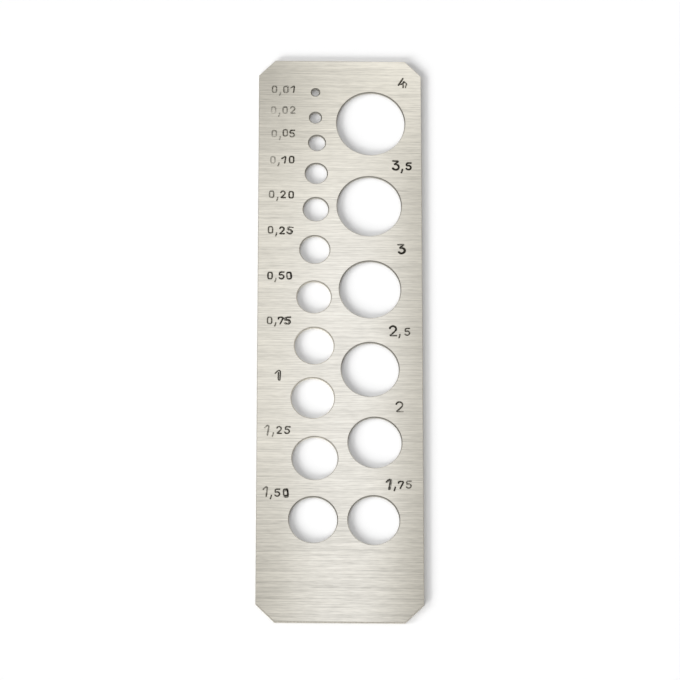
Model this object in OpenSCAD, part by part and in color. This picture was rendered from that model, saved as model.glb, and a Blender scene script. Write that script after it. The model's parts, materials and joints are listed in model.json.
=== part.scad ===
// Gemstone size gauge: one sheet-metal plate with graded holes. A round stone is
// tried in the holes, and the one that it just passes gives its weight in carats.
// Millimetres. The plate lies on z = 0 with its stamped face up, the small sizes
// along its left side and its head, where both rows of holes start, at +Y.

/* [Plate] */
// Width of the plate
plate_w = 25; // [22:0.5:32]
// Length of the plate, from foot to head
plate_l = 91; // [86:0.5:110]
// Thickness of the sheet
plate_t = 0.6; // [0.5:0.1:1.5]
// Side of the 45 degree cut across each head corner
head_cut = 2.5; // [1:0.1:4]
// Side of the 45 degree cut across each foot corner
foot_cut = 2.8; // [1:0.1:4]
// Width of the broken edge all round the outline, on both faces
edge_break = 0.08; // [0.04:0.01:0.2]

/* [Rows of holes] */
// Distance between the centre lines of the two rows
row_pitch = 8.6; // [8.2:0.1:9.2]
// How far the pair of rows sits to the right, which leaves room for the figures
row_shift = 0.4; // [0:0.1:1.2]
// Head edge to the wall of the first small hole
small_start = 4.7; // [3:0.1:7]
// Head edge to the wall of the first large hole
large_start = 5.3; // [4:0.1:6.5]
// Sheet left between the walls of two small holes
small_web = 2.5; // [2:0.1:3]
// Sheet left between the walls of two large holes
large_web = 4; // [3.4:0.1:4.6]
// Width of the deburred rim of a hole, on both faces
rim = 0.14; // [0.05:0.01:0.2]

/* [Small holes] */
// Bore for a stone of 0.01 carat
bore_0_01 = 1.2; // [1:0.05:1.6]
// Bore for a stone of 0.02 carat
bore_0_02 = 1.75; // [1.5:0.05:2.2]
// Bore for a stone of 0.05 carat
bore_0_05 = 2.5; // [2.2:0.05:3]
// Bore for a stone of 0.10 carat
bore_0_10 = 3.3; // [2.8:0.05:3.8]
// Bore for a stone of 0.20 carat
bore_0_20 = 3.8; // [3.4:0.05:4.3]
// Bore for a stone of 0.25 carat
bore_0_25 = 4.5; // [4:0.05:5]
// Bore for a stone of 0.50 carat
bore_0_50 = 5.15; // [4.8:0.05:5.6]
// Bore for a stone of 0.75 carat
bore_0_75 = 5.9; // [5.4:0.05:6.4]
// Bore for a stone of 1 carat
bore_1 = 6.45; // [6:0.05:7]
// Bore for a stone of 1.25 carats
bore_1_25 = 6.8; // [6.4:0.05:7.4]
// Bore for a stone of 1.50 carats
bore_1_50 = 7.2; // [6.8:0.05:7.8]

/* [Large holes] */
// Bore for a stone of 4 carats
bore_4 = 10.4; // [9.8:0.05:10.9]
// Bore for a stone of 3.5 carats
bore_3_5 = 9.75; // [9.2:0.05:10.3]
// Bore for a stone of 3 carats
bore_3 = 9.25; // [8.8:0.05:9.8]
// Bore for a stone of 2.5 carats
bore_2_5 = 8.65; // [8.2:0.05:9.2]
// Bore for a stone of 2 carats
bore_2 = 8; // [7.6:0.05:8.6]
// Bore for a stone of 1.75 carats
bore_1_75 = 7.65; // [7.2:0.05:8.2]

/* [Hidden] */

// The tool is marked out by hand, so each hole sits a little off its row's centre
// line and a little off the even web. One line per hole, from the head down:
// [bore, step to the right of the row's line, more web before this hole]
small_row = [
    [bore_0_01,  0.10,  0.00],
    [bore_0_02,  0.10,  0.30],
    [bore_0_05,  0.35, -0.40],
    [bore_0_10,  0.25, -0.30],
    [bore_0_20,  0.20, -0.10],
    [bore_0_25,  0.05,  0.00],
    [bore_0_50, -0.05,  0.45],
    [bore_0_75,  0.00, -0.10],
    [bore_1,    -0.20, -0.25],
    [bore_1_25,  0.15,  0.50],
    [bore_1_50, -0.10,  0.25],
];
large_row = [
    [bore_4,     0.00,  0.00],
    [bore_3_5,  -0.25, -0.30],
    [bore_3,    -0.15,  0.20],
    [bore_2_5,  -0.15,  0.05],
    [bore_2,     0.55, -0.60],
    [bore_1_75,  0.35,  0.50],
];

half_w = plate_w / 2;
half_l = plate_l / 2;
small_line = row_shift - row_pitch / 2;
large_line = row_shift + row_pitch / 2;
fine = 128;     // facets of a round cut
past = 1;       // how far a cutter runs past the sheet

// Distance from the head edge down to the centre of hole i of a row
function drop(row, start, web, i) =
    let (radius = row[i][0] / 2)
    i == 0
        ? start + radius
        : drop(row, start, web, i - 1) + row[i - 1][0] / 2 + web + row[i][2] + radius;

// Centre of hole i of a row whose centre line lies at x = line
function centre(row, line, start, web, i) =
    [line + row[i][1], half_l - drop(row, start, web, i)];

// Section across a sheet that reaches from -reach_low to reach_high, seen along
// one of its edges: a rectangle with its four corners broken
module sheet_section(reach_low, reach_high) {
    polygon([
        [-reach_low + edge_break, 0], [reach_high - edge_break, 0],
        [reach_high, edge_break], [reach_high, plate_t - edge_break],
        [reach_high - edge_break, plate_t], [-reach_low + edge_break, plate_t],
        [-reach_low, plate_t - edge_break], [-reach_low, edge_break],
    ]);
}

// Sheet whose outline is two parallel edges with broken corners, square to the
// direction that lies turn degrees round from +X, and endless the other way
module strip(turn, reach_low, reach_high) {
    endless = 2 * (plate_w + plate_l);
    rotate([0, 0, turn])
        rotate([90, 0, 0])
            translate([0, 0, -endless / 2])
                linear_extrude(endless)
                    sheet_section(reach_low, reach_high);
}

// Blank: where four strips cross. Two give the sides and the ends, and the two
// laid corner to corner cut each corner off at 45 degrees.
module blank() {
    diagonal = (half_w + half_l) / sqrt(2);
    head_reach = diagonal - head_cut / sqrt(2);
    foot_reach = diagonal - foot_cut / sqrt(2);
    intersection() {
        strip(0, half_w, half_w);
        strip(90, half_l, half_l);
        strip(45, foot_reach, head_reach);
        strip(135, foot_reach, head_reach);
    }
}

// Cutter for one hole: a straight bore that opens into a conical rim at both faces
module hole_cutter(bore) {
    radius = bore / 2;
    mouth = radius + rim + past;
    rotate_extrude($fn = fine)
        polygon([
            [0, -past], [mouth, -past], [radius, rim],
            [radius, plate_t - rim], [mouth, plate_t + past], [0, plate_t + past],
        ]);
}

module row_of_holes(row, line, start, web) {
    for (i = [0 : len(row) - 1])
        translate(centre(row, line, start, web, i))
            hole_cutter(row[i][0]);
}

module gauge_plate() {
    color([0.80, 0.78, 0.73])
        difference() {
            blank();
            row_of_holes(small_row, small_line, small_start, small_web);
            row_of_holes(large_row, large_line, large_start, large_web);
        }
}

gauge_plate();
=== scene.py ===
"""Gemstone size gauge: a drilled and stamped sheet-metal plate, lying on a white table.
Metres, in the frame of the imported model: the back lies on z = 0, the head is at +Y and the
stamped face looks up. Values named in mm are turned into metres where they are used."""

import json
import math

import bmesh
import bpy
from mathutils import Euler, Matrix, Vector, noise
from mathutils.geometry import delaunay_2d_cdt
from mathutils.kdtree import KDTree


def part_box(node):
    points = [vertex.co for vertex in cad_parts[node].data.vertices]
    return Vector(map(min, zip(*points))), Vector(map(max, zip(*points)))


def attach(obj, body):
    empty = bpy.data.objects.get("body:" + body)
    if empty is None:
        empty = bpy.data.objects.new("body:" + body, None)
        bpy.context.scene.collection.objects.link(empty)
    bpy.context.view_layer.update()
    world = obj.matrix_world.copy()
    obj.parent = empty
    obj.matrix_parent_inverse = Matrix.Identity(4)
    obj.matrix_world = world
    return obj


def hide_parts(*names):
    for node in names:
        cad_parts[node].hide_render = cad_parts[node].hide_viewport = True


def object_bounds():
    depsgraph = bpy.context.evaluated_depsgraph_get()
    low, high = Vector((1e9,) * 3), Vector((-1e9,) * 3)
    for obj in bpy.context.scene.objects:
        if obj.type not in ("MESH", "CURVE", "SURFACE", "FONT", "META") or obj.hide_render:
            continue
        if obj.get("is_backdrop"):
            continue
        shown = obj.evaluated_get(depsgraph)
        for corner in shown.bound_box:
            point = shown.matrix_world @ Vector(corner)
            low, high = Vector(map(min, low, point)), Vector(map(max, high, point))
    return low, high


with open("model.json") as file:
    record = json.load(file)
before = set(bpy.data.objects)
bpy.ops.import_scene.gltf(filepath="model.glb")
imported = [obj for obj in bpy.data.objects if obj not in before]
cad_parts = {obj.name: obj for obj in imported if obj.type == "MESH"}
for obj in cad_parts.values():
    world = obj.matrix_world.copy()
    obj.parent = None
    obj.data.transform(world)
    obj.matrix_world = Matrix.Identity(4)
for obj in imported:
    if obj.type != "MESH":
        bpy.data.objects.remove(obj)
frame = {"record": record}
MM = 0.001
cad_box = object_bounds()

# Blank
# The plate starts as a guillotined rectangle of nickel silver. Its four corners are clipped
# at 45 degrees, and a file is run round both faces so that no edge is sharp in the hand.
low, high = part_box("gauge_plate")
thickness = high.z - low.z
head_clip = 2.5 * MM
foot_clip = 2.8 * MM
filed_edge = 0.08 * MM
edge_facets = 3
weld = 1e-7  # points nearer than this count as one


def object_from(shape, name):
    """Links a new object that holds a bmesh, and frees the bmesh."""
    mesh = bpy.data.meshes.new(name)
    shape.to_mesh(mesh)
    shape.free()
    made = bpy.data.objects.new(name, mesh)
    bpy.context.scene.collection.objects.link(made)
    return made


def corner_edges(shape, end):
    """The two upright edges at the corners of the blank's head (1) or foot (-1)."""
    return [
        edge
        for edge in shape.edges
        if abs(edge.verts[0].co.z - edge.verts[1].co.z) > thickness / 2
        and all(vert.co.y * end > 0 for vert in edge.verts)
    ]


blank = bmesh.new()
bmesh.ops.create_cube(blank, size=1)
bmesh.ops.scale(blank, vec=high - low, verts=blank.verts)
bmesh.ops.translate(blank, vec=(low + high) / 2, verts=blank.verts)
for end, clip in ((1, head_clip), (-1, foot_clip)):
    bmesh.ops.bevel(
        blank, geom=corner_edges(blank, end), offset=clip, affect="EDGES",
        segments=1, profile=0.5, material=-1,
    )
long_way = [e for e in blank.edges if abs(e.verts[0].co.z - e.verts[1].co.z) < thickness / 2]
bmesh.ops.bevel(
    blank, geom=long_way, offset=filed_edge, affect="EDGES",
    segments=edge_facets, profile=0.5, material=-1,
)
plate = object_from(blank, "stamped_plate")

# Holes
# Each hole is drilled and reamed to its size, and then deburred on both faces, which leaves a
# narrow cone round its mouth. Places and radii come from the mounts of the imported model.
deburred = 0.14 * MM
past_sheet = 1 * MM
turns = 128
holes = {
    mount["name"]: (Vector(mount["pos_m"]), mount["dims"]["r_mm"] * MM)
    for mount in frame["record"]["mounts"]
    if mount["kind"] == "bore"
}


def drill(shape, centre, radius):
    """Adds one turned cutter to a bmesh: a straight bore that flares into a cone at both faces."""
    flare = deburred + past_sheet
    section = [
        (0, low.z - past_sheet), (radius + flare, low.z - past_sheet), (radius, low.z + deburred),
        (radius, high.z - deburred), (radius + flare, high.z + past_sheet), (0, high.z + past_sheet),
    ]
    points = [shape.verts.new((centre.x + r, centre.y, z)) for r, z in section]
    outline = [shape.edges.new(pair) for pair in zip(points, points[1:])]
    bmesh.ops.spin(
        shape, geom=points + outline, cent=(centre.x, centre.y, 0), axis=(0, 0, 1),
        angle=math.tau, steps=turns, use_merge=True,
    )


drills = bmesh.new()
for centre, radius in holes.values():
    drill(drills, centre, radius)
bmesh.ops.remove_doubles(drills, verts=drills.verts, dist=weld)
bmesh.ops.recalc_face_normals(drills, faces=drills.faces)
drill_set = object_from(drills, "drill_set")

drilling = plate.modifiers.new("drilling", "BOOLEAN")
drilling.object = drill_set
drilling.operation = "DIFFERENCE"
drilling.solver = "EXACT"
bpy.context.view_layer.update()
drilled = bpy.data.meshes.new_from_object(plate.evaluated_get(bpy.context.evaluated_depsgraph_get()))
plate.modifiers.clear()
plate.data = drilled
bpy.data.objects.remove(drill_set)

# Figures
# The carat figures are struck by hand, one punch at a time, so they lean, wander and sink
# unevenly. A figure is a groove along its strokes, with a low lip of metal pushed up round it.
figure_size = (0.64 * MM, 1.03 * MM)  # across and up, between the middles of the strokes
whole_size = (0.96 * MM, 1.46 * MM)  # the larger punches for whole carats
comma_step = 0.52 * MM
figure_step = 1.20 * MM
groove_half = 0.122 * MM
groove_deep = 0.15 * MM
lip_wide = 0.16 * MM
lip_high = 0.014 * MM
thin_cut = 0.85  # how broad a groove the punch of a lone 1 cuts, beside that of a small figure
broad_cut = 1.15  # and the punches of the other whole carats
point_step = 0.055 * MM
rebound = 0.55  # how much of its force a punch has left where it bounced and struck again
unevenness = 0.5  # how much deeper or shallower a blow sinks from place to place
patches = 5  # how many such places a figure has, about
least_sunk = 0.05
deep_least, deep_gain = 0.02, 0.95  # a groove's depth and width grow with how far it is sunk
half_least, half_gain = 0.6, 0.4


def arc(x, y, wide, high, start, end, points):
    """Points along part of an ellipse, from one angle to another in degrees, in punch units."""
    angles = [math.radians(start + (end - start) * i / (points - 1)) for i in range(points)]
    return [(x + wide * math.cos(a), y + high * math.sin(a)) for a in angles]


# Strokes of each punch, in punch units: x from -0.5 to 0.5 across, y from -0.5 to 0.5 up
PUNCHES = {
    "0": [[
        (0, 0.5), (0.34, 0.5), (0.5, 0.3), (0.5, -0.3), (0.34, -0.5), (0, -0.5),
        (-0.34, -0.5), (-0.5, -0.3), (-0.5, 0.3), (-0.34, 0.5), (0, 0.5),
    ]],
    "1": [[(-0.62, 0.18), (-0.2, 0.38), (0.08, 0.52), (0.26, 0.47), (0.22, 0.1), (0.1, -0.52)]],
    "2": [arc(0.02, 0.21, 0.5, 0.32, 165, -25, 12)
          + [(0.1, -0.2), (-0.3, -0.44), (-0.5, -0.53), (0.56, -0.53)]],
    "3": [[(-0.48, 0.5), (0.46, 0.5), (0.1, 0.3), (-0.28, 0.08), (0, 0.12)]
          + arc(0, -0.19, 0.5, 0.31, 70, -150, 14)],
    "4": [[(0.16, 0.54), (-0.54, -0.22)], [(-0.2, -0.13), (0.12, -0.06)],
          [(0.3, 0.17), (0.14, -0.08), (0.21, -0.25), (0.19, -0.5)],
          [(0.3, 0.17), (0.82, -0.1), (0.62, -0.29), (0.58, -0.5)]],
    "5": [[(0.58, 0.54), (-0.42, 0.54), (-0.46, 0.06)] + arc(0, -0.2, 0.57, 0.33, 115, -150, 14)],
    "7": [[(-0.6, 0.26), (-0.56, 0.52), (0.62, 0.52), (0.25, 0.05), (-0.2, -0.53)]],
    ",": [[(0.12, -0.46), (0.06, -0.68), (-0.12, -0.98)]],
    "lone 1": [[(-0.5, 0.2), (-0.18, 0.44), (0.06, 0.54), (0.26, 0.5), (0.3, 0.3), (0.28, 0), (0.24, -0.53)],
               [(0, 0.3), (-0.01, 0), (-0.03, -0.53), (0.24, -0.53)]],
    "thin 1": [[(-0.38, 0.24), (-0.14, 0.42), (0.1, 0.53), (0.25, 0.44), (0.2, 0.1), (0.08, -0.53)]],
}


def hit(force, lean=0, slip=0, lift=0, right=0, top=0, bounce=None):
    """One blow on a punch: how hard it is beside a full one, how far the figure leans to the left
    in degrees, how far it slips to the right and up in mm, how much deeper its right side and
    its top sink, and how far from its mark a second one lies where the punch bounced."""
    return force, lean, slip, lift, right, top, bounce


# How each label was struck: where its first figure stands, from the plate's middle line and
# above the centre of its hole, in mm, and its blows
STRIKES = {
    "0,01": (-10.12, 0.45, [
        hit(0.41, top=0.1), hit(0.42, top=0.2), hit(0.51, slip=0.03, bounce=(0.1, 0.06)),
        hit(0.62, lean=-2, slip=-0.03, lift=0.05, right=0.3),
    ]),
    "0,02": (-10.24, 1.20, [
        hit(0.24, lift=0.02, top=0.45), hit(0.27), hit(0.38, slip=0.05, lift=0.04, top=0.3),
        hit(0.42, lift=0.08),
    ]),
    "0,05": (-10.12, 1.50, [
        hit(0.3, top=0.3), hit(0.3), hit(0.52, slip=-0.02, lift=0.14, right=-0.2),
        hit(0.6, slip=-0.2, lift=0.02, top=0.2),
    ]),
    "0,10": (-10.30, 2.20, [
        hit(0.32, top=0.2), hit(0.42), hit(0.78, lean=-3, slip=0.05, lift=0.04),
        hit(0.75, slip=-0.05, lift=0.07, top=0.1),
    ]),
    "0,20": (-10.47, 2.38, [hit(0.5, lift=0.05), hit(0.5), hit(0.76, lift=0.05), hit(0.79, slip=0.07)]),
    "0,25": (-10.60, 3.16, [
        hit(0.62, lift=0.04), hit(0.6, lift=0.02), hit(0.88, lift=-0.04),
        hit(0.82, lean=-10, lift=-0.05, slip=0.05, top=-0.2, bounce=(-0.14, 0.04)),
    ]),
    "0,50": (-10.63, 3.45, [
        hit(0.75, right=-0.1), hit(0.22, top=-0.5, slip=-0.04), hit(0.85, lift=0.03),
        hit(1, lean=5, slip=-0.04, right=0.35, top=0.2),
    ]),
    "0,75": (-10.66, 4.04, [
        hit(0.62), hit(0.6, lift=0.1), hit(0.9, top=0.2),
        hit(0.95, slip=-0.16, top=0.05, bounce=(-0.2, -0.03)),
    ]),
    "1": (-9.28, 3.61, [hit(0.76, right=0.1)]),
    "1,25": (-10.95, 4.45, [
        hit(0.48, lean=-2, slip=0.02, lift=-0.03, top=-0.08), hit(0.42, slip=0.03),
        hit(0.7, slip=0.08), hit(0.73, lean=-8, slip=0.1),
    ]),
    "1,50": (-11.15, 4.38, [
        hit(0.5, slip=0.07, top=-0.06), hit(0.61, slip=-0.02, lift=-0.12),
        hit(0.69, slip=0.05, lift=-0.16),
        hit(0.92, lean=4, slip=0.13, lift=-0.12, right=0.3, bounce=(0.05, -0.22)),
    ]),
    "4": (9.54, 6.87, [hit(0.72, right=-0.22)]),
    "3,5": (8.54, 6.82, [
        hit(1.1, lean=-2, top=-0.25), hit(1, slip=0.08, lift=-0.2), hit(1.25, slip=0.23, lift=-0.14),
    ]),
    "3": (9.34, 6.68, [hit(1.2, lean=4, top=-0.45, bounce=(0.1, 0.02))]),
    "2,5": (8.0, 6.27, [
        hit(0.88, top=0.35), hit(0.58, slip=0.14, lift=-0.1), hit(0.63, slip=0.44, lift=-0.14),
    ]),
    "2": (8.93, 5.75, [hit(0.66, top=0.2, right=-0.2)]),
    "1,75": (7.38, 5.70, [
        hit(0.78, lean=-3, slip=-0.07, bounce=(0.14, 0)), hit(0.74, slip=-0.04),
        hit(0.88, slip=0.06, lift=-0.08), hit(0.5, slip=-0.02, lift=-0.04),
    ]),
}


def finely(path, spacing):
    """The path with its corners cut twice, and points about every spacing along it."""
    points = [Vector(p) for p in path]
    for _ in range(2):
        cut = [points[0]]
        for a, b in zip(points, points[1:]):
            cut += [a.lerp(b, 0.25), a.lerp(b, 0.75)]
        points = cut + [points[-1]]
    fine = [points[0]]
    for a, b in zip(points, points[1:]):
        pieces = max(1, round((b - a).length / spacing))
        fine += [a.lerp(b, (i + 1) / pieces) for i in range(pieces)]
    least = spacing * 0.7
    kept = [fine[0]]
    for point in fine:
        if (point - kept[-1]).length > least:
            kept.append(point)
    return kept


def pressed(distance, half, deep):
    """How high the face stands at a distance from the middle of a stroke: its groove, then its lip."""
    if distance < half:
        return -deep * (1 - (distance / half) ** 2)
    run = min(1, (distance - half) / lip_wide)
    swell = 27 / 4 * run * (1 - run) ** 2  # 1 at its top, a third of the way out
    return lip_high * min(deep / groove_deep, 1) * swell


def punch_for(label, i):
    """The punch that strikes figure i of a label, its size, and how broad a groove it cuts."""
    figure = label[i]
    if i > 0 or figure == "0":
        return figure, figure_size, 1
    if label == "1":
        return "lone 1", whole_size, thin_cut
    return "thin 1" if figure == "1" else figure, whole_size, broad_cut


def grooves(label, i, blow, x, y, rise):
    """What one blow leaves: of each stroke, its points with half the width and the depth of its
    groove. Without a slip, the middle of the figure stands at x and a rise in mm above y."""
    punch, (across, up), broad = punch_for(label, i)
    force, lean, slip, lift, right, top, bounce = blow
    turn = Matrix.Rotation(math.radians(lean), 2)
    marks = [(slip, lift, force)]
    if bounce:
        marks.append((slip + bounce[0], lift + bounce[1], force * rebound))
    for aside, above, strength in marks:
        middle = Vector((x + aside * MM, y + (rise + above) * MM))
        for stroke in PUNCHES[punch]:
            groove = []
            for px, py in finely(stroke, point_step / up):
                place = Vector((x / MM + patches * px, patches * py, y / MM))
                uneven = 1 + unevenness * noise.noise(place)
                sunk = max(least_sunk, strength * uneven * (1 + 2 * right * px + 2 * top * py))
                deep = groove_deep * (deep_least + deep_gain * sunk)
                half = groove_half * (half_least + half_gain * sunk) * broad
                groove.append((middle + turn @ Vector((px * across, py * up)), half, deep))
            yield groove


strokes = []
for name, (centre, radius) in holes.items():
    label = ",".join(name.split("_")[1:-1])
    start, rise, blows = STRIKES[label]
    x = start * MM
    for i, blow in enumerate(blows):
        strokes += grooves(label, i, blow, x, centre.y, rise)
        beside_a_comma = "," in label[i : i + 2]
        x += (figure_step + comma_step) / 2 if beside_a_comma else figure_step

samples = [sample for groove in strokes for sample in groove]
nearest = KDTree(len(samples))
for i, (point, half, deep) in enumerate(samples):
    nearest.insert(point.to_3d(), i)
nearest.balance()

# The face of the plate is laid again through rows of points beside the strokes and round their
# ends. A point is left out where another stroke runs nearer, or where a kept one is beside it.
GROOVE_ROWS = (0.45, 0.75, 0.93, 1.03)  # out from the middle, as shares of half a groove
LIP_ROWS = (0.14, 0.33, 0.6, 1, 1.3)  # out from the groove, as shares of a lip
near_fan = range(-75, 90, 30)  # degrees round the end of a stroke, for a row near its middle
far_fan = range(-75, 90, 15)
cell_side = 0.018 * MM
nearly, slack = 0.97, 0.002 * MM  # how far inside its row a point may come to lie
laid_points = []
taken = set()


def lay(point, row):
    """Keeps a point that stands one row away from its own stroke, with its height."""
    _, i, distance = nearest.find(point.to_3d())
    cell = (round(point.x / cell_side), round(point.y / cell_side))
    if distance > row * nearly - slack and cell not in taken:
        taken.add(cell)
        laid_points.append((point, pressed(distance, *samples[i][1:])))


for groove in strokes:
    path = [point for point, half, deep in groove]
    for i, (point, half, deep) in enumerate(groove):
        rows = [half * share for share in GROOVE_ROWS]
        rows += [half + lip_wide * share for share in LIP_ROWS]
        before, after = path[max(i - 1, 0)], path[min(i + 1, len(path) - 1)]
        along = (after - before).normalized()
        lay(point, 0)
        for row in rows:
            lay(point + Vector((-along.y, along.x)) * row, row)
            lay(point + Vector((along.y, -along.x)) * row, row)
            if i in (0, len(path) - 1):
                out = along if i else -along
                for turned in far_fan if row > half / 2 else near_fan:
                    lay(point + Matrix.Rotation(math.radians(turned), 2) @ out * row, row)

level = 0.999  # how nearly a face's normal points along Z where the face counts as level
weld_mm = 1e-5  # the same as weld, for the points that are laid in mm
face = bmesh.new()
face.from_mesh(plate.data)
bmesh.ops.remove_doubles(face, verts=face.verts, dist=weld / 10)
bare = [f for f in face.faces if f.normal.z > level and f.calc_center_median().z > high.z - weld]
bmesh.ops.delete(face, geom=bare, context="FACES")
rim_edges = [edge for edge in face.edges if edge.is_boundary]
rim = [vert for vert in face.verts if vert.is_boundary]
number = {vert: i for i, vert in enumerate(rim)}


def mouth(vert):
    """The hole whose mouth a point of the rim is on, or None on the outline of the plate."""
    for name, (centre, radius) in holes.items():
        if (vert.co.xy - centre.xy).length < radius + 2 * deburred:
            return name


mouths = [mouth(vert) for vert in rim]
_, _, triangles, sources, _, _ = delaunay_2d_cdt(
    [vert.co.xy / MM for vert in rim] + [point / MM for point, height in laid_points],
    [[number[vert] for vert in edge.verts] for edge in rim_edges],
    [], 1, weld_mm,
)
corners = []
for first, *_ in sources:
    if first < len(rim):
        corners.append((rim[first], mouths[first]))
    else:
        point, height = laid_points[first - len(rim)]
        corners.append((face.verts.new((point.x, point.y, high.z + height)), None))
struck_face = set()
for triangle in triangles:
    verts, on = zip(*(corners[i] for i in triangle))
    over_a_hole = on[0] and on[0] == on[1] == on[2]
    if not over_a_hole:
        struck_face.add(face.faces.new(verts))

# Finish
# The sheet comes from the mill with a brushed grain across its width. Its sides, head and foot are
# painted darker than its middle. This is painted shade that stands in for the dimmer reflection
# there. Its sides and head are also yellowed. The grooves of the figures are painted near black as
# painted shade. The bores and the filed edges show plain cut metal. The bores in the middle of the
# small row are painted lighter, as a painted reflection on their rims.
AS_BRUSHED, AS_BORED, AS_FILED = 0, 1, 2
flat_angle = math.radians(30)


def finish_of(piece_face):
    """Which finish a face of the plate has, from where it is and which way it looks."""
    if piece_face in struck_face or abs(piece_face.normal.z) > level:
        return AS_BRUSHED
    middle = piece_face.calc_center_median().xy
    in_a_hole = any((middle - centre.xy).length < radius + deburred for centre, radius in holes.values())
    return AS_BORED if in_a_hole else AS_FILED


face.normal_update()
for piece_face in face.faces:
    piece_face.material_index = finish_of(piece_face)
    piece_face.smooth = True
for edge in face.edges:
    finishes = {piece_face.material_index for piece_face in edge.link_faces}
    turned = edge.calc_face_angle(0) > flat_angle
    edge.smooth = len(finishes) == 1 and (not turned or finishes == {AS_BRUSHED})
face.to_mesh(plate.data)
face.free()


class Reading:
    """A socket of a node tree. Sums written with readings add their Math nodes to the tree."""

    def __init__(self, tree, socket=None):
        self.tree = tree
        self.socket = socket

    def node(self, kind, settings, inputs, output=0):
        """Adds a node, sets it up, fills its sockets with values or readings, and reads it."""
        made = self.tree.nodes.new(kind)
        for name, value in settings.items():
            setattr(made, name, value)
        for name, value in inputs.items():
            if isinstance(value, Reading):
                self.tree.links.new(value.socket, made.inputs[name])
            else:
                made.inputs[name].default_value = value
        return Reading(self.tree, made.outputs[output])

    def feed(self, socket):
        """Drives a socket of a shader with this reading."""
        self.tree.links.new(self.socket, socket)

    def math(self, operation, first, second):
        return self.node("ShaderNodeMath", {"operation": operation}, {0: first, 1: second})

    def __add__(self, other):
        return self.math("ADD", self, other)

    def __sub__(self, other):
        return self.math("SUBTRACT", self, other)

    def __rsub__(self, other):
        return self.math("SUBTRACT", other, self)

    def __mul__(self, other):
        return self.math("MULTIPLY", self, other)

    def axes(self):
        """Readings of the X, Y and Z of this vector."""
        split = self.node("ShaderNodeSeparateXYZ", {}, {"Vector": self})
        return [Reading(self.tree, socket) for socket in split.socket.node.outputs]

    def past(self, start, end):
        """Goes smoothly from 0 to 1 while this reading goes from start to end."""
        sockets = {"Value": self, "From Min": start, "From Max": end}
        return self.node("ShaderNodeMapRange", {"interpolation_type": "SMOOTHSTEP"}, sockets)

    def blend(self, first, second):
        """A colour that goes from the first to the second as this reading goes from 0 to 1."""
        settings = {"data_type": "RGBA", "blend_type": "MIX"}
        return self.node("ShaderNodeMix", settings, {0: self, 6: first, 7: second}, 2)

    def tint(self, colour):
        """The colour darkened or brightened by this reading."""
        settings = {"operation": "SCALE"}
        return self.node("ShaderNodeVectorMath", settings, {0: colour, "Scale": self})


def finish(name):
    """A metal finish: its material, its shader, and its Object coordinates."""
    material = bpy.data.materials.new(name)
    material.use_nodes = True
    shader = material.node_tree.nodes["Principled BSDF"]
    shader.inputs["Metallic"].default_value = 1
    place = Reading(material.node_tree).node("ShaderNodeTexCoord", {}, {}, "Object")
    return material, shader, place


def streaks(place, size, seed, detail=2.0):
    """Noise drawn out to a size in mm along X, Y and Z, from about 0 to 1 and mostly near a half."""
    scale = tuple(1 / (length * MM) for length in size)
    shift = tuple(seed * step for step in (1.7, 2.3, 3.1))
    moved = place.node("ShaderNodeMapping", {}, {"Vector": place, "Location": shift, "Scale": scale})
    return place.node("ShaderNodeTexNoise", {}, {"Vector": moved, "Scale": 1.0, "Detail": detail})


def brushed_metal():
    """The face and the back: grain and scratches across the width, painted shade at the sides, ends and in
    the grooves.
    """
    plain_nickel = (0.864, 0.838, 0.775, 1)
    yellowed = (0.873, 0.838, 0.745, 1)
    painted_shade_tone = (0.50, 0.475, 0.415, 1)
    groove_shade_colour = (0.04, 0.035, 0.027, 1)
    material, shader, place = finish("brushed_nickel_silver")
    across, along, height = place.axes()

    fine = streaks(place, (10, 0.165, 5), 1)
    short = streaks(place, (1.5, 0.17, 5), 2)
    long = streaks(place, (60, 0.5, 5), 3)
    grain = fine * 0.5 + short * 0.34 + long * 0.16 - 0.5
    clouds = streaks(place, (9, 12, 9), 4, 3.0)
    scratches = streaks(place, (30, 0.13, 5), 7).past(0.6, 0.72)

    left_side = (0 - across).past(0, 14 * MM)
    left_rim = (0 - across).past(3 * MM, 12 * MM)
    left_half = (0 - across).past(-6 * MM, 12 * MM)
    right_side = across.past(2.5 * MM, 16 * MM)
    head_end = along.past(15 * MM, 47 * MM)
    head_tip = along.past(20 * MM, 44 * MM)
    head_third = along.past(5 * MM, 42 * MM)
    foot_end = (0 - along).past(14 * MM, 42 * MM)

    # Painted shade: the base colour is darkened toward the sides, the head and the foot. This stands in for
    # the sheet's dimmer reflection there. Random clouds of tone are mixed in.
    painted_side_shade = left_side * 0.27 + right_side * (foot_end * 0.12 + 0.77) * (1 - head_tip)
    painted_head_shade = head_end * (left_half * 0.38 + 0.19)
    painted_foot_shade = foot_end * (left_rim * 0.34 + 0.12)
    painted_shade_and_clouds = painted_side_shade + painted_head_shade + painted_foot_shade + (clouds - 0.5) * 0.2
    age = (left_side * 0.79 + right_side) * (1 - head_third * 0.7) + head_third * 0.95
    metal = painted_shade_and_clouds.blend(age.blend(plain_nickel, yellowed), painted_shade_tone)

    contrast = foot_end * 0.25 + 1.35
    head_line = along.past(44 * MM, 45.3 * MM) * 0.13
    scratched = scratches * (foot_end * 0.16 + 0.05)
    metal = (grain * contrast + 1 + head_line - scratched).tint(metal)
    # Painted shade: the deeper the face lies in a groove, the nearer its colour comes to black.
    depth = (high.z - height).past(0.015 * MM, 0.1 * MM)
    groove_shade_mask = depth * height.past(high.z - 0.4 * MM, high.z - 0.3 * MM)
    (groove_shade_mask * 0.97).blend(metal, groove_shade_colour).feed(shader.inputs["Base Color"])

    (grain * 0.3 + painted_shade_and_clouds * 0.08 + 0.33).feed(shader.inputs["Roughness"])
    relief = {"Height": grain, "Strength": 1.0, "Distance": 0.004 * MM}
    place.node("ShaderNodeBump", {}, relief).feed(shader.inputs["Normal"])
    return material


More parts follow.
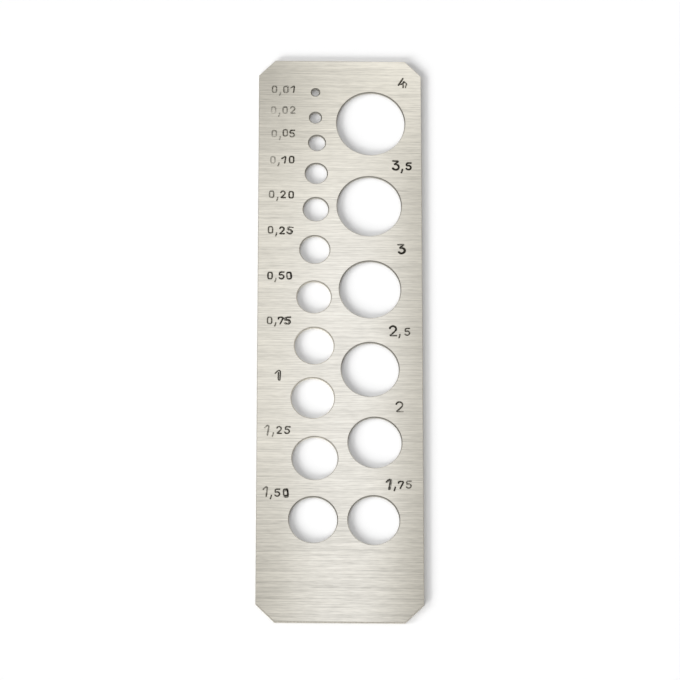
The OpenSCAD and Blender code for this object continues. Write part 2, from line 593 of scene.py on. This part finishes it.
def cut_metal():
    """The bores and their rims: rings left by the cutter; in the middle of the small row painted lighter and
    rougher, a painted reflection on the rims.
    """
    dark, light = (0.5, 0.475, 0.42, 1), (0.68, 0.65, 0.58, 1)
    material, shader, place = finish("cut_nickel_silver")
    across, along, _ = place.axes()
    # Painted reflection: the bores in the middle of the small row are painted lighter and made rougher, so
    # that their rims look brighter.
    small_row = (0 - across).past(0, 0.5 * MM)
    painted_rim_light = small_row * along.past(-26 * MM, -12 * MM) * (1 - along.past(0, 30 * MM))
    rings = streaks(place, (2, 2, 0.05), 5).past(0.2, 0.8).blend(dark, light)
    (painted_rim_light * 0.5 + 1).tint(rings).feed(shader.inputs["Base Color"])
    (painted_rim_light * 0.3 + 0.28).feed(shader.inputs["Roughness"])
    return material


def filed_metal():
    """The outline: matt, with upright file marks."""
    dark, light = (0.74, 0.71, 0.64, 1), (0.88, 0.85, 0.78, 1)
    material, shader, place = finish("filed_nickel_silver")
    marks = streaks(place, (0.15, 0.15, 3), 6).past(0.2, 0.8).blend(dark, light)
    marks.feed(shader.inputs["Base Color"])
    shader.inputs["Roughness"].default_value = 0.85
    return material


for metal in (brushed_metal(), cut_metal(), filed_metal()):
    plate.data.materials.append(metal)
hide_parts("gauge_plate")
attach(plate, "root")

# Table
# The plate lies on a matt white sheet that runs on past the view on every side.
table_reach = 1.5
paper_white = 0.88
sheet = bmesh.new()
bmesh.ops.create_grid(sheet, x_segments=1, y_segments=1, size=table_reach)
bmesh.ops.translate(sheet, vec=(0, 0, low.z), verts=sheet.verts)
table = object_from(sheet, "table")
paper = bpy.data.materials.new("matt_white_paper")
paper.use_nodes = True
shader = paper.node_tree.nodes["Principled BSDF"]
shader.inputs["Base Color"].default_value = (paper_white, paper_white, paper_white, 1)
shader.inputs["Roughness"].default_value = 0.9
shader.inputs["Specular IOR Level"].default_value = 0.1
table.data.materials.append(paper)
table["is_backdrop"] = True

# Light
# Three soft lamps stand side by side, from the left round toward the foot, and a white ceiling
# fills in from overhead. The walls are dark, most of all beyond the head, and draw the rims.
LAMPS = {  # the way to each lamp, its strength, and its width in degrees
    "middle_lamp": (Vector((-2.5, -2.3, 1)), 2.1, 14),
    "left_lamp": (Vector((-2.3, -0.2, 1)), 1.87, 22),
    "near_lamp": (Vector((-1.2, -2.2, 1)), 1.76, 22),
}
for name, (way, energy, wide) in LAMPS.items():
    lamp = bpy.data.objects.new(name, bpy.data.lights.new(name, "SUN"))
    lamp.data.energy = energy
    lamp.data.angle = math.radians(wide)
    lamp.visible_glossy = False
    lamp.rotation_mode = "QUATERNION"
    lamp.rotation_quaternion = way.to_track_quat("Z", "Y")
    bpy.context.scene.collection.objects.link(lamp)

room = bpy.data.worlds.new("room")
room.use_nodes = True
bpy.context.scene.world = room
tree = room.node_tree
background = tree.nodes["Background"]
background.inputs["Color"].default_value = (1, 1, 1, 1)
_, past_head, overhead = Reading(tree).node("ShaderNodeTexCoord", {}, {}, "Generated").axes()
ceiling = (overhead * 0.95 + past_head * 0.3).past(0.62, 0.92)
walls = 0.20 - past_head * 0.13
(ceiling * (1 - walls) + walls).feed(background.inputs["Strength"])

# Camera
# It stands beyond the foot and a little to the left of the plate's middle, and looks back at
# it through a long lens. Its three angles are measured from looking straight down.
camera_place = Vector((-13.12, -264.75, 680.05)) * MM
tilt, lean, turn = (math.radians(angle) for angle in (21.229, -1.118, 0.030))
camera = bpy.data.objects.new("camera", bpy.data.cameras.new("camera"))
camera.matrix_world = Matrix.LocRotScale(camera_place, Euler((tilt, lean, turn)), None)
camera.data.sensor_width = 36
camera.data.lens = 255.3
camera.data.clip_start = 0.01
camera.data.clip_end = 10
bpy.context.scene.collection.objects.link(camera)
bpy.context.scene.camera = camera

bpy.context.scene.view_settings.view_transform = "Standard"
boxes = {"cad": cad_box, "visual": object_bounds()}
{name: [list(corner) for corner in box] for name, box in boxes.items()}
